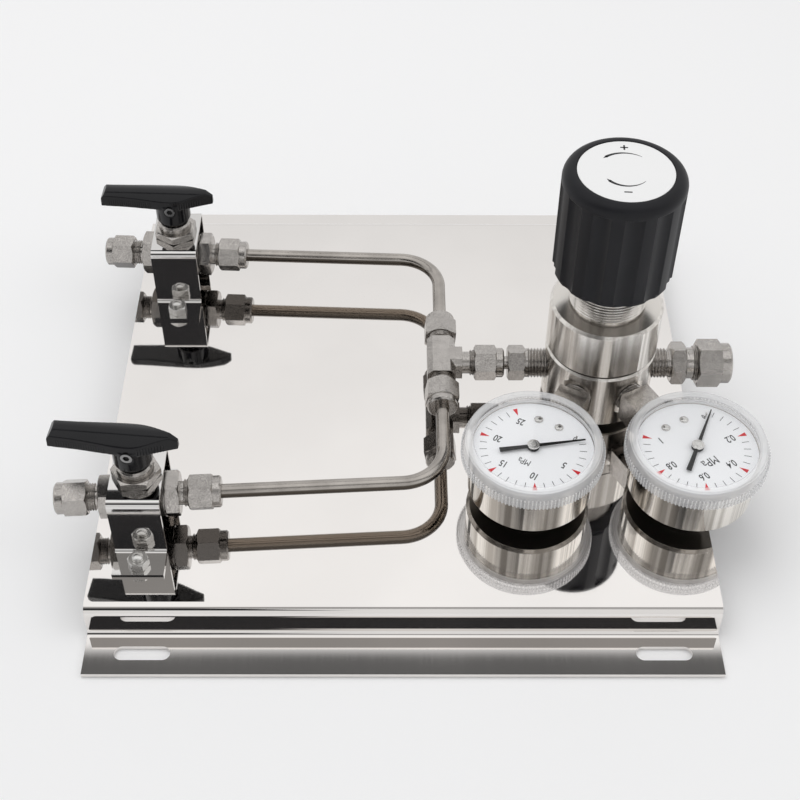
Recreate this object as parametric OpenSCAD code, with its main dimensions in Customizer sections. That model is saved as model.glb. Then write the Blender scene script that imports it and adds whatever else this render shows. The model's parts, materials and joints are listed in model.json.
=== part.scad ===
// Gas manifold panel: two shut-off valves feed one pressure regulator through a tee.
// Millimetres. Origin: centre of the slot pattern on the mounting plane. X right, Y back, Z up.

/* [Base plate] */
// width of the plate
plate_width = 260; // [220:1:320]
// depth over the outer faces of the two webs
plate_depth = 247; // [230:1:320]
// sheet thickness
plate_t = 2; // [1.5:0.1:3]
// height of the plate top above the mounting plane
plate_rise = 17.5; // [14:0.5:30]
// inside radius of the bends
plate_bend = 2.5; // [1.5:0.1:4]
// front flange length beyond the web
flange_out = 20; // [16:0.5:30]
// back flange length beyond the web
flange_back = 23.4; // [16:0.1:30]
// distance between the slot centres along X
slot_pitch_x = 213; // [180:1:215]
// slot centre line beyond the web
slot_out = 10; // [8:0.5:14]
// slot length over the round ends
slot_length = 23; // [14:0.5:30]
// slot width
slot_width = 6.5; // [5:0.1:8]

/* [Layout] */
// height of the gas line above the plate top
axis_h = 18.5; // [17.5:0.1:22]
// Y of the regulator and the tee branch
line_y = 0; // [-10:0.5:10]
// front valve from the outer face of the front web
valve_inset_front = 45.5; // [38:0.5:54]
// back valve from the outer face of the back web
valve_inset_back = 48; // [44:0.5:62]
// X of both valves
valve_x = -109.5; // [-116:0.5:-100]
// front valve and tube turned in towards the tee, degrees
toe_front = 3.4; // [0:0.1:4]
// back valve and tube turned in towards the tee, degrees
toe_back = 2.4; // [0:0.1:4]
// X of the tee
tee_x = 17.4; // [5:0.1:20]
// X of the regulator
reg_x = 88.8; // [88:0.1:100]

/* [Tube fittings] */
// outer diameter of the inlet tube
tube_od = 6; // [5:0.05:6.4]
// wall of the tube
tube_wall = 1; // [0.6:0.1:1.5]
// centre-line radius of the tube bends
tube_bend = 19; // [14:0.5:24]
// width across flats of the inlet nuts
nut_af = 14; // [13.6:0.1:16]
// length of the nut hexagon
nut_hex_l = 10; // [9:0.1:12]
// length of the round collar of the nut
nut_collar_l = 3.5; // [2.5:0.1:5]
// thread diameter of the fitting necks
neck_d = 11.6; // [11:0.1:12]
// radial gap between tube and bore
tube_gap = 0.06; // [0.05:0.01:0.15]
// radial gap between a thread crest and its nut
thread_gap = 0.15; // [0.1:0.01:0.3]
// gap left between the open inlet nut and its hexagon
inlet_nut_gap = 5; // [4:0.1:6]
// gap between a tightened nut and its hexagon
tight_nut_gap = 3.6; // [3:0.1:5]

/* [Outlet] */
// outer diameter of the outlet tube
out_tube_od = 10; // [8:0.1:10.5]
// width across flats of the outlet nut
out_nut_af = 19; // [18.6:0.1:22]
// length of the outlet nut hexagon
out_nut_hex_l = 10.7; // [9:0.1:12]
// length of the outlet nut collar
out_nut_collar_l = 4.6; // [3:0.1:6]
// thread diameter of the outlet neck
out_neck_d = 15.8; // [15:0.1:16.2]
// width across flats of the outlet connector
out_hex_af = 17; // [17:0.1:20]
// length of the outlet connector hexagon
out_hex_l = 6.7; // [5:0.1:9]
// thread seen between the regulator and the outlet hexagon
out_thread_l = 7.8; // [6:0.1:10]
// gap between the outlet hexagon and its nut
out_nut_gap = 5.2; // [4:0.1:7]

/* [Valves] */
// width across flats of the valve end hexagons
valve_hex_af = 18; // [16:0.1:19]
// length of the valve end hexagons
valve_hex_l = 6; // [5:0.1:8]
// length of the valve body under the bracket
valve_body_l = 21.2; // [20:0.1:26]
// diameter of the threaded valve neck
valve_neck_d = 15; // [14.4:0.1:16]
// width across flats of the panel nut
panel_nut_af = 18; // [17.5:0.1:20]
// height of the panel nut
panel_nut_h = 4; // [3:0.1:5]
// valve neck standing above the panel nut
neck_above = 3.8; // [2.4:0.1:5]
// ball diameter
ball_d = 11; // [10:0.1:11.4]
// bore through the ball
ball_bore = 4.8; // [4:0.1:5]
// stem diameter
stem_d = 6; // [5.6:0.1:6.6]
// running gap of the stem
stem_gap = 0.05; // [0.03:0.01:0.08]

/* [Brackets] */
// bracket sheet thickness
bracket_t = 1.5; // [1:0.1:2]
// bracket width along X
bracket_w = 21.5; // [20.6:0.1:24]
// bracket top above the gas line
bracket_over = 13.3; // [12.6:0.1:17]
// depth over the outer faces of the bracket walls
bracket_depth = 32.4; // [29:0.1:34]
// foot edge distance from the valve axis
bracket_foot = 28.8; // [28:0.1:34]
// inside radius of the bracket bends
bracket_bend = 1.4; // [0.8:0.1:1.6]
// bracket screw diameter
screw_d = 5; // [4:0.1:5.2]
// width across flats of the bracket nuts
screw_nut_af = 8; // [7.6:0.1:9]
// height of the bracket nuts
screw_nut_h = 4; // [3:0.1:5]

/* [Handles] */
// long side of the handle from the stem
handle_long = 32.6; // [28:0.1:36]
// nose of the handle from the stem
handle_nose = 19.8; // [18:0.1:24]
// half width of the handle at the stem
handle_half = 7.3; // [6.6:0.1:8]
// hub diameter
hub_d = 16.2; // [15.4:0.1:16.8]
// gap between the valve neck and the hub
hub_clear = 2.4; // [1.2:0.1:4]
// hub height under the blade
hub_h = 9; // [8.4:0.1:12]
// blade height at the crown
blade_h = 6.2; // [5.8:0.1:8]
// height of the upright blade edge
blade_edge = 3.9; // [3.2:0.1:4.4]
// set screw above the underside of the hub
set_rise = 8.2; // [6.6:0.1:8.4]
// front handle turned from its open stop, degrees
swing_front = 9; // [0:0.5:20]
// back handle turned from its open stop, degrees
swing_back = 0; // [0:0.5:20]

/* [Regulator] */
// diameter of the body and bonnet
reg_d = 49.3; // [48:0.1:52]
// gap under the body
reg_foot = 3.2; // [2:0.1:5]
// top of the body above the plate
reg_body_top = 32.2; // [31:0.1:36]
// clamping gap that holds the diaphragm
reg_gap = 1; // [0.6:0.1:1.4]
// top of the bonnet above the plate
bonnet_top = 57.4; // [55:0.1:62]
// distance of the wrench flats from the axis
bonnet_flat = 23.7; // [23:0.1:23.9]
// direction of the wrench flats from the front
bonnet_flat_dir = 17; // [0:1:40]
// thread diameter of the bonnet neck
bonnet_neck_d = 33.4; // [31:0.1:35]
// top of the bonnet neck above the plate
bonnet_neck_top = 86; // [84:0.1:88]
// spring chamber diameter
chamber_d = 27; // [25:0.1:27.4]
// adjusting screw diameter
adjust_d = 10; // [8:0.1:12]
// running gap of the adjusting screw
adjust_gap = 0.06; // [0.03:0.01:0.08]
// taper thread diameter of the ports
port_d = 13.4; // [13:0.1:13.8]

/* [Knob] */
// knob diameter
knob_d = 51; // [48:0.1:54]
// underside of the knob above the plate
knob_z = 75.6; // [72:0.1:78]
// top of the knob above the plate
knob_top = 127.2; // [122:0.1:130]
// rounding of the knob top edge
knob_round = 4.8; // [3:0.1:6]
// number of grip flutes
knob_flutes = 12; // [8:1:16]
// depth of the grip flutes
flute_depth = 1.5; // [0.8:0.1:1.8]
// plain collar above the flutes
flute_stop = 5.4; // [5:0.1:10]
// turn of the flute pattern at rest, degrees
flute_turn = -11.6; // [-15:0.1:15]
// label diameter
label_d = 39.4; // [36:0.1:40]

/* [Gauges] */
// distance of the gauge axis from the regulator axis
gauge_reach = 71; // [71:0.1:80]
// direction of the gauges from the front
gauge_dir = 29; // [27:0.5:32]
// case diameter
case_d = 53.4; // [50:0.1:55]
// case wall
case_wall = 0.8; // [0.6:0.1:1.2]
// underside of the case above the plate
case_z = 6.6; // [5:0.1:8]
// dial face above the plate
dial_z = 30.3; // [29.4:0.1:31]
// lens ring diameter
lens_d = 60.6; // [58:0.1:62]
// top of the lens ring above the plate
lens_top = 35.3; // [35:0.1:37]
// height of the lens ring below the dial
lens_skirt = 4.6; // [2.4:0.1:5.2]
// gap between the lens ring and the wrench square
lens_clear = 0.5; // [0.3:0.1:1]
// wrench square of the gauge stem
gauge_square = 14; // [12.5:0.1:14.5]
// pointer length from the axis
pointer_l = 22.4; // [18:0.1:23]
// pointer tail from the axis
pointer_tail = 14.4; // [10:0.1:16]
// pointer rest angle from the stem, clockwise
pointer_rest = 52; // [45:1:60]
// pointer shaft diameter
shaft_d = 2; // [1.6:0.1:2.4]
// running gap of the pointer shaft
shaft_gap = 0.05; // [0.03:0.01:0.08]

/* [Hidden] */
$fn = 64;
zp = plate_rise;
za = plate_rise + axis_h;
tube_r = tube_od / 2;
bore_r = tube_r + tube_gap;
flow_r = tube_r - tube_wall;
neck_r = neck_d / 2;
nut_bore_r = neck_r + thread_gap;
collar_r = nut_af / 2 - 0.3;
nut_l = nut_hex_l + nut_collar_l;
socket_in = 8.2;
neck_past = nut_hex_l - 2.2;
hex_end = valve_body_l / 2 + valve_hex_l;
port_r = port_d / 2;
reg_r = reg_d / 2;
spot_r = port_r + 2.6;
spot_face = sqrt(reg_r * reg_r - spot_r * spot_r) + 0.9;
tee_body_l = 11.3;
tee_w = 12.7;
tee_neck = tee_body_l + tight_nut_gap + neck_past;
tee_stub = tee_body_l + tight_nut_gap + nut_l;
adapter_hex_x = tee_x + tee_stub + 1.6;
adapter_hex_l = 7.8;
out_bore_r = out_tube_od / 2 + tube_gap;
out_neck_r = out_neck_d / 2;
out_hex_x = reg_r + out_thread_l;
out_nut_x = out_hex_x + out_hex_l + out_nut_gap;
cavity_r = ball_d / 2 + 0.7;
seat_x = ball_d / 2 - 0.9;
seat_end = seat_x + 2.4;
stem_r = stem_d / 2;
valve_neck_r = valve_neck_d / 2;
valve_front_y = valve_inset_front - plate_depth / 2;
valve_back_y = plate_depth / 2 - valve_inset_back;
bracket_h = axis_h + bracket_over;
shoulder_z = bracket_over - bracket_t;
neck_top_z = bracket_over + panel_nut_h + neck_above;
hub_z = axis_h + neck_top_z + hub_clear;
blade_z = hub_z + hub_h;
blade_top = blade_z + blade_h;
set_z = hub_z + set_rise;
foot_hole = (bracket_depth / 2 + bracket_bend + bracket_foot) / 2;
screw_r = screw_d / 2;
blade_r = 12;
end_lean = 40;
nose_lean = 58;
case_r = case_d / 2;
lens_r = lens_d / 2;
gz = case_z - axis_h;
dz = dial_z - axis_h;
lz = lens_top - axis_h;
label_t = 0.8;
flute_r = 7.5;
button_z = 62;
neck_cap = 12;
steel = [0.78, 0.77, 0.75];
black = [0.08, 0.08, 0.09];

// hexagon bar along Z from 0 to l with turned corners at both ends
module hex_bar(af, l, cut = 0.6) {
  intersection() {
    cylinder(d = af / cos(30), h = l, $fn = 6);
    rotate_extrude() polygon([[0, 0], [af / 2 - 0.1, 0], [af / 2 / cos(30) + 0.2, cut + 0.3], [af / 2 / cos(30) + 0.2, l - cut - 0.3], [af / 2 - 0.1, l], [0, l]]);
  }
}

// screw thread shown as turned ridges along Z
module ridges(r, l, pitch, deep) {
  n = floor(l / pitch);
  rotate_extrude() polygon(concat([[0, 0]],
    [for (i = [0 : n - 1]) each [[r - deep, i * pitch], [r, (i + 0.35) * pitch], [r, (i + 0.55) * pitch], [r - deep, (i + 0.9) * pitch]]],
    [[r - deep, l], [0, l]]));
}

// quarter ring along X in the quadrant given by the signs
module quarter(ri, ro, l, sy, sz) {
  intersection() {
    rotate([0, 90, 0]) difference() {
      cylinder(r = ro, h = l, center = true);
      cylinder(r = ri, h = l + 2, center = true);
    }
    translate([0, sy * (ro + 1) / 2, sz * (ro + 1) / 2]) cube([l + 4, ro + 1, ro + 1], center = true);
  }
}

module box(x0, x1, y0, y1, z0, z1) translate([x0, y0, z0]) cube([x1 - x0, y1 - y0, z1 - z0]);

// turn local Z to the named direction
module to_px() rotate([0, 90, 0]) children();
module to_nx() rotate([0, -90, 0]) children();
module to_py() rotate([-90, 0, 0]) children();
module to_ny() rotate([90, 0, 0]) children();
module at_front() translate([valve_x, valve_front_y, za]) rotate([0, 0, toe_front]) children();
module at_back() translate([valve_x, valve_back_y, za]) rotate([0, 0, -toe_back]) children();
module at_tee() translate([tee_x, line_y, za]) children();
module at_reg() translate([reg_x, line_y, zp]) children();
module at_gauge(s) translate([reg_x, line_y, za]) rotate([0, 0, s * gauge_dir]) translate([0, -gauge_reach, 0]) children();

// base plate
module base_side(s) {
  d = plate_depth / 2;
  t = plate_t;
  b = plate_bend;
  w = plate_width;
  f = s > 0 ? flange_back : flange_out;
  translate([0, s * (d - b - t), zp - b - t]) quarter(b, b + t, w, s, 1);
  translate([0, s * (d - t / 2), (zp - b - t + t + b) / 2]) cube([w, t, zp - 2 * b - 2 * t], center = true);
  translate([0, s * (d + b), t + b]) quarter(b, b + t, w, -s, -1);
  translate([0, s * (d + (b + f) / 2), t / 2]) cube([w, f - b, t], center = true);
}
module slot_cut() {
  c = slot_length - slot_width;
  for (s = [-1, 1]) translate([s * c / 2, 0, -1]) cylinder(d = slot_width, h = plate_t + 2);
  translate([-c / 2, -slot_width / 2, -1]) cube([c, slot_width, plate_t + 2]);
}
module base_plate() color(steel) difference() {
  union() {
    translate([0, 0, zp - plate_t / 2]) cube([plate_width, plate_depth - 2 * (plate_bend + plate_t), plate_t], center = true);
    base_side(-1);
    base_side(1);
  }
  for (sx = [-1, 1], sy = [-1, 1]) translate([sx * slot_pitch_x / 2, sy * (plate_depth / 2 + slot_out), 0]) slot_cut();
  for (y = [valve_front_y, valve_back_y], s = [-1, 1]) translate([valve_x, y + s * foot_hole, zp - plate_t - 1]) cylinder(r = screw_r + 0.25, h = plate_t + 2);
  for (s = [-1, 1]) translate([reg_x + s * 9, line_y, zp - plate_t - 1]) cylinder(r = screw_r + 0.25, h = plate_t + 2);
}

// valve brackets
module bracket() color(steel) difference() {
  d = bracket_depth / 2;
  t = bracket_t;
  b = bracket_bend;
  w = bracket_w;
  union() {
    translate([0, 0, bracket_h - t / 2]) cube([w, 2 * (d - b - t), t], center = true);
    for (s = [-1, 1]) {
      translate([0, s * (d - b - t), bracket_h - b - t]) quarter(b, b + t, w, s, 1);
      translate([0, s * (d - t / 2), bracket_h / 2]) cube([w, t, bracket_h - 2 * b - 2 * t], center = true);
      translate([0, s * (d + b), t + b]) quarter(b, b + t, w, -s, -1);
      translate([0, s * (d + b + bracket_foot) / 2, t / 2]) cube([w, bracket_foot - d - b, t], center = true);
    }
  }
  translate([0, 0, bracket_h - t - 1]) cylinder(r = valve_neck_r + 0.3, h = t + 2);
  for (s = [-1, 1]) translate([0, s * foot_hole, -1]) cylinder(r = screw_r + 0.25, h = t + 2);
}
module bracket_front() translate([valve_x, valve_front_y, zp]) bracket();
module bracket_back() translate([valve_x, valve_back_y, zp]) bracket();

// bracket screws with domed ends, heads under the plate
module plate_screw(top) {
  e = top - zp;
  rotate_extrude() intersection() {
    union() {
      translate([0, -plate_t - 2.7]) square([screw_r * 1.8, 2.7]);
      translate([0, -plate_t]) square([screw_r, e + plate_t - 0.9]);
      translate([0, e - screw_r * 1.35]) circle(r = screw_r * 1.35);
    }
    union() {
      translate([0, -plate_t - 2.7]) square([screw_r * 1.8, 2.7]);
      translate([0, -plate_t]) square([screw_r, e + plate_t + 3]);
    }
  }
}
module bracket_screws() color(steel)
  for (y = [valve_front_y, valve_back_y], s = [-1, 1]) translate([valve_x, y + s * foot_hole, zp])
    plate_screw(zp + bracket_t + screw_nut_h + 2.2);
module bracket_nuts() color(steel)
  for (y = [valve_front_y, valve_back_y], s = [-1, 1]) translate([valve_x, y + s * foot_hole, zp + bracket_t])
    difference() {
      rotate([0, 0, y > 0 ? 30 : 0]) hex_bar(screw_nut_af, screw_nut_h, 0.4);
      translate([0, 0, -1]) cylinder(r = screw_r + 0.1, h = screw_nut_h + 2);
    }

// shut-off valves
module valve_body() color(steel) difference() {
  union() {
    translate([-valve_body_l / 2, 0, 0]) to_px() cylinder(r = cavity_r + 3.4, h = valve_body_l);
    cylinder(r = valve_neck_r + 1.8, h = shoulder_z);
    rotate_extrude() polygon([[0, 0], [valve_neck_r, 0], [valve_neck_r, neck_top_z - 0.8], [valve_neck_r - 0.8, neck_top_z], [0, neck_top_z]]);
  }
  translate([-valve_body_l, 0, 0]) to_px() cylinder(r = cavity_r, h = 2 * valve_body_l);
  cylinder(r = stem_r + stem_gap, h = neck_top_z + 1);
  translate([0, 0, neck_top_z - 5]) cylinder(r = stem_r + 2.2, h = 6);
}
module valve_body_front() at_front() valve_body();
module valve_body_back() at_back() valve_body();

// threaded end of a tube fitting along Z: plain part, ridges, flared mouth
module fitting_neck(r, plain, l) {
  cylinder(r = r - 0.8, h = plain);
  translate([0, 0, plain]) ridges(r, l - plain, 1, 0.55);
}
module fitting_bore(rb, rf, l, deep) {
  translate([0, 0, l - deep]) cylinder(r = rb, h = deep + 1);
  translate([0, 0, l - 1.6]) cylinder(r1 = rb, r2 = rb + 0.9, h = 1.61);
  translate([0, 0, -60]) cylinder(r = rf, h = 60 + l);
}
module valve_end(gap, turn) color(steel) {
  l = gap + neck_past;
  difference() {
    union() {
      translate([0, 0, seat_end + 0.05]) cylinder(r = cavity_r - 0.05, h = valve_body_l / 2 - seat_end);
      translate([0, 0, valve_body_l / 2]) rotate([0, 0, turn]) hex_bar(valve_hex_af, valve_hex_l, 0.5);
      translate([0, 0, hex_end - 1]) cylinder(r = neck_r - 1.2, h = 2);
      translate([0, 0, hex_end]) fitting_neck(neck_r, 1.6, l);
    }
    translate([0, 0, hex_end]) fitting_bore(bore_r, flow_r, l, socket_in);
  }
}
module valve_inlet_end_front() at_front() to_nx() valve_end(inlet_nut_gap, 18);
module valve_inlet_end_back() at_back() to_nx() valve_end(inlet_nut_gap, 32);
module valve_outlet_end_front() at_front() to_px() valve_end(tight_nut_gap, 32);
module valve_outlet_end_back() at_back() to_px() valve_end(tight_nut_gap, 20);

module panel_nut() color(steel) difference() {
  hex_bar(panel_nut_af, panel_nut_h, 0.5);
  translate([0, 0, -1]) cylinder(r = valve_neck_r + 0.1, h = panel_nut_h + 2);
}
module panel_nut_front() translate([valve_x, valve_front_y, zp + bracket_h]) rotate([0, 0, 2]) panel_nut();
module panel_nut_back() translate([valve_x, valve_back_y, zp + bracket_h]) rotate([0, 0, 27]) panel_nut();

module packing_nut() color(steel) translate([0, 0, neck_top_z - 5]) difference() {
  cylinder(r = stem_r + 2.15, h = 4.7);
  translate([0, 0, -1]) cylinder(r = stem_r + stem_gap, h = 8);
}
module packing_nut_front() at_front() packing_nut();
module packing_nut_back() at_back() packing_nut();

module seats() color([0.93, 0.92, 0.88]) for (s = [-1, 1]) rotate([0, s * 90, 0]) translate([0, 0, seat_x])
  difference() {
    cylinder(r = cavity_r - 0.05, h = seat_end - seat_x);
    translate([0, 0, -1]) cylinder(r = flow_r + 0.2, h = 6);
    translate([0, 0, -0.01]) cylinder(r1 = sqrt(ball_d * ball_d / 4 - seat_x * seat_x) + 0.6, r2 = flow_r + 0.2, h = 1.4);
  }
module seats_front() at_front() seats();
module seats_back() at_back() seats();

module stem() color(steel) difference() {
  union() {
    sphere(r = ball_d / 2);
    cylinder(r = stem_r, h = set_z + 2.4 - axis_h);
  }
  translate([-ball_d, 0, 0]) to_px() cylinder(d = ball_bore, h = 2 * ball_d);
}
module stem_front() at_front() rotate([0, 0, -swing_front]) stem();
module stem_back() at_back() rotate([0, 0, -swing_back]) stem();

// tube nuts along Z, inner face at 0
module tube_nut(af, hl, cl, rb, rt) color(steel) difference() {
  union() {
    hex_bar(af, hl, 0.5);
    rotate_extrude() polygon([[0, 0], [af / 2 - 0.3, 0], [af / 2 - 0.3, hl + cl - 0.7], [af / 2 - 1, hl + cl], [0, hl + cl]]);
  }
  translate([0, 0, -1]) cylinder(r = rb, h = hl - 0.4);
  translate([0, 0, hl - 1.41]) cylinder(r1 = rb, r2 = rt, h = 2.4);
  translate([0, 0, hl]) cylinder(r = rt, h = cl + 2);
}
module small_nut() tube_nut(nut_af, nut_hex_l, nut_collar_l, nut_bore_r, bore_r);
module inlet_nut_front() at_front() to_nx() translate([0, 0, hex_end + inlet_nut_gap]) rotate([0, 0, 10]) small_nut();
module inlet_nut_back() at_back() to_nx() translate([0, 0, hex_end + inlet_nut_gap]) rotate([0, 0, 29]) small_nut();
module outlet_nut_front() at_front() to_px() translate([0, 0, hex_end + tight_nut_gap]) rotate([0, 0, 33]) small_nut();
module outlet_nut_back() at_back() to_px() translate([0, 0, hex_end + tight_nut_gap]) rotate([0, 0, 32]) small_nut();

// handles
module handle_plan() polygon([for (s = [-1, 1]) each let (k = [
  [-handle_long, 0.72], [-handle_long * 0.65, 0.79], [-handle_long * 0.35, 0.91], [-handle_long * 0.12, 1], [handle_nose * 0.15, 1],
  [handle_nose * 0.4, 0.82], [handle_nose * 0.68, 0.52], [handle_nose, 0.2]]) [for (i = [0 : len(k) - 1]) let (q = s < 0 ? k[i] : k[len(k) - 1 - i]) [q[0], s * q[1] * handle_half]]]);
module handle() color(black) difference() {
  union() {
    translate([0, 0, hub_z]) cylinder(d = hub_d, h = blade_z - hub_z + 1);
    intersection() {
      translate([0, 0, blade_z]) linear_extrude(height = blade_top - blade_z) handle_plan();
      translate([-2 * handle_long, 0, blade_top - blade_r]) to_px() cylinder(r = blade_r, h = 4 * handle_long);
      translate([-handle_long, 0, blade_z + blade_edge]) rotate([0, end_lean, 0]) translate([0, -handle_half * 2, -4 * handle_long]) cube([4 * handle_long, handle_half * 4, 8 * handle_long]);
      translate([handle_nose, 0, blade_z + blade_edge]) rotate([0, -nose_lean, 0]) translate([-4 * handle_long, -handle_half * 2, -4 * handle_long]) cube([4 * handle_long, handle_half * 4, 8 * handle_long]);
    }
  }
  translate([0, 0, hub_z - 1]) cylinder(r = stem_r, h = set_z + 2.6 - hub_z + 1);
  translate([0, 0, set_z]) to_ny() cylinder(r = 2.5, h = 20);
}
module on_front() translate([valve_x, valve_front_y, zp]) rotate([0, 0, toe_front - swing_front]) children();
module on_back() translate([valve_x, valve_back_y, zp]) rotate([0, 0, -toe_back - swing_back]) children();
module handle_front() on_front() handle();
module handle_back() on_back() handle();
module set_screw() color(steel) translate([0, 0, set_z]) to_ny() difference() {
  translate([0, 0, stem_r]) cylinder(r = 2.45, h = hub_d / 2 - stem_r - 0.2);
  translate([0, 0, hub_d / 2 - 2.6]) cylinder(d = 2.5 / cos(30), h = 4, $fn = 6);
}
module set_screw_front() on_front() set_screw();
module set_screw_back() on_back() set_screw();

// tubes from the valves to the tee: a straight run turned in by the toe, a bend, then straight into the tee
module tube_run(y, s, toe) color(steel) {
  turn = 90 - toe;
  run = tee_x - valve_x;
  cut = tube_bend * tan(turn / 2);
  first = run / cos(toe) - cut - hex_end - tight_nut_gap - neck_past + socket_in - 0.4;
  last = abs(line_y - y) - run * tan(toe) - cut - tee_neck + socket_in - 0.4;
  translate([tee_x - tube_bend, y + s * (run * tan(toe) + cut), za]) rotate([s > 0 ? 0 : 180, 0, 0]) {
    rotate([0, 0, -turn]) {
      rotate_extrude(angle = turn) translate([tube_bend, 0]) difference() {
        circle(r = tube_r);
        circle(r = flow_r);
      }
      translate([tube_bend, 0, 0]) to_ny() pipe(first);
    }
    translate([tube_bend, 0, 0]) to_py() pipe(last);
  }
}
module pipe(l) difference() {
  cylinder(r = tube_r, h = l);
  translate([0, 0, -1]) cylinder(r = flow_r, h = l + 2);
}
module tube_front() tube_run(valve_front_y, 1, toe_front);
module tube_back() tube_run(valve_back_y, -1, toe_back);

// tee
module tee_bar(l) intersection() {
  translate([-tee_w / 2, -tee_w / 2, 0]) cube([tee_w, tee_w, l]);
  rotate([0, 0, 45]) translate([-tee_w * 0.57, -tee_w * 0.57, 0]) cube([tee_w * 1.14, tee_w * 1.14, l]);
}
module tee_body() color(steel) at_tee() difference() {
  l = tight_nut_gap + neck_past;
  union() {
    translate([0, -tee_body_l, 0]) to_py() tee_bar(2 * tee_body_l);
    to_px() tee_bar(tee_body_l - 1.8);
    to_px() cylinder(r = neck_r - 0.8, h = tee_body_l + 1);
    to_px() translate([0, 0, tee_body_l]) fitting_neck(neck_r, 1.6, l);
    to_py() translate([0, 0, tee_body_l]) fitting_neck(neck_r, 1.6, l);
    to_ny() translate([0, 0, tee_body_l]) fitting_neck(neck_r, 1.6, l);
  }
  to_px() tee_bore(l);
  to_py() tee_bore(l);
  to_ny() tee_bore(l);
}
module tee_bore(l) translate([0, 0, tee_body_l]) {
  translate([0, 0, l - socket_in]) cylinder(r = bore_r, h = socket_in + 1);
  translate([0, 0, l - 1.6]) cylinder(r1 = bore_r, r2 = bore_r + 0.9, h = 1.61);
  translate([0, 0, -tee_body_l - flow_r]) cylinder(r = flow_r, h = tee_body_l + flow_r + l);
}
module tee_nut_front() at_tee() to_ny() translate([0, 0, tee_body_l + tight_nut_gap]) rotate([0, 0, 20]) small_nut();
module tee_nut_back() at_tee() to_py() translate([0, 0, tee_body_l + tight_nut_gap]) rotate([0, 0, 34]) small_nut();
module tee_nut_branch() at_tee() to_px() translate([0, 0, tee_body_l + tight_nut_gap]) rotate([0, 0, 16]) small_nut();

// regulator inlet adapter, tube stub to taper thread
module inlet_adapter() color(steel) {
  stub = tee_x + tee_neck - socket_in + 0.4;
  thread_l = reg_x - reg_r - adapter_hex_x - adapter_hex_l + 8;
  translate([0, line_y, za]) to_px() difference() {
    union() {
      translate([0, 0, stub]) cylinder(r = tube_r, h = adapter_hex_x - stub + 0.5);
      translate([0, 0, adapter_hex_x]) rotate([0, 0, 12]) hex_bar(nut_af, adapter_hex_l, 0.6);
      translate([0, 0, adapter_hex_x + adapter_hex_l]) cylinder(r = port_r - 0.2, h = 1.4);
      translate([0, 0, adapter_hex_x + adapter_hex_l + 1.3]) ridges(port_r, thread_l - 1.3, 1.41, 0.8);
    }
    translate([0, 0, stub - 1]) cylinder(r = flow_r, h = 80);
  }
}

// regulator body with four ports
module port_cut(dir, deep) rotate([0, 0, dir]) to_px() {
  translate([0, 0, reg_r - deep]) cylinder(r = port_r + thread_gap, h = deep + 5);
  translate([0, 0, spot_face]) cylinder(r = spot_r, h = 10);
  translate([0, 0, 7]) cylinder(r = flow_r, h = reg_r);
}
module regulator_body() color(steel) at_reg() difference() {
  rotate_extrude() polygon([[0, 0], [16, 0], [16, reg_foot], [reg_r - 0.6, reg_foot], [reg_r, reg_foot + 0.6],
    [reg_r, reg_body_top - 0.9], [reg_r - 0.9, reg_body_top], [0, reg_body_top]]);
  translate([0, 0, reg_body_top - 2.6]) cylinder(r = reg_r - 7, h = 4);
  translate([0, 0, axis_h - 4]) cylinder(r = 8, h = reg_body_top);
  translate([0, 0, axis_h]) {
    port_cut(180, 9);
    port_cut(0, 9);
    port_cut(-90 - gauge_dir, 7);
    port_cut(-90 + gauge_dir, 7);
  }
  for (s = [-1, 1]) translate([s * 9, 0, -1]) cylinder(r = screw_r + 0.1, h = 9);
}
module regulator_screws() color(steel) for (s = [-1, 1]) translate([reg_x + s * 9, line_y, zp]) plate_screw(zp + 7);

module diaphragm() color([0.7, 0.71, 0.72]) at_reg() translate([0, 0, reg_body_top]) rotate_extrude()
  polygon([[0, 0], [reg_r - 2.6, 0], [reg_r - 2.6, reg_gap], [plate_r, reg_gap], [plate_r, reg_gap + 2.2], [0, reg_gap + 2.2]]);

module bonnet() color(steel) at_reg() difference() {
  b = reg_body_top + reg_gap;
  union() {
    intersection() {
      rotate_extrude() polygon([[0, b], [reg_r - 0.7, b], [reg_r, b + 0.7], [reg_r, bonnet_top - 1.2], [reg_r - 1.2, bonnet_top], [0, bonnet_top]]);
      rotate([0, 0, bonnet_flat_dir]) translate([-40, -bonnet_flat, 0]) cube([80, 2 * bonnet_flat, 200]);
    }
    translate([0, 0, bonnet_top - 0.5]) cylinder(r = bonnet_neck_d / 2 - 0.9, h = 1.6);
    translate([0, 0, bonnet_top + 1]) ridges(bonnet_neck_d / 2, bonnet_neck_top - bonnet_top - 1, 1.5, 0.7);
  }
  translate([0, 0, b - 1]) cylinder(d = chamber_d, h = bonnet_neck_top - neck_cap - b + 1);
  translate([0, 0, b - 1]) cylinder(r = adjust_d / 2 + adjust_gap, h = 100);
}

module spring_button() color(steel) at_reg() translate([0, 0, button_z]) difference() {
  union() {
    cylinder(d = chamber_d - 0.9, h = 2.4);
    translate([0, 0, 2.3]) cylinder(d = 16, h = 2.7);
    translate([0, 0, -2.4]) cylinder(r = plate_r, h = 2.5);
  }
  translate([0, 0, 3.5]) cylinder(r = adjust_d / 2 + 0.3, h = 4);
}

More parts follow.
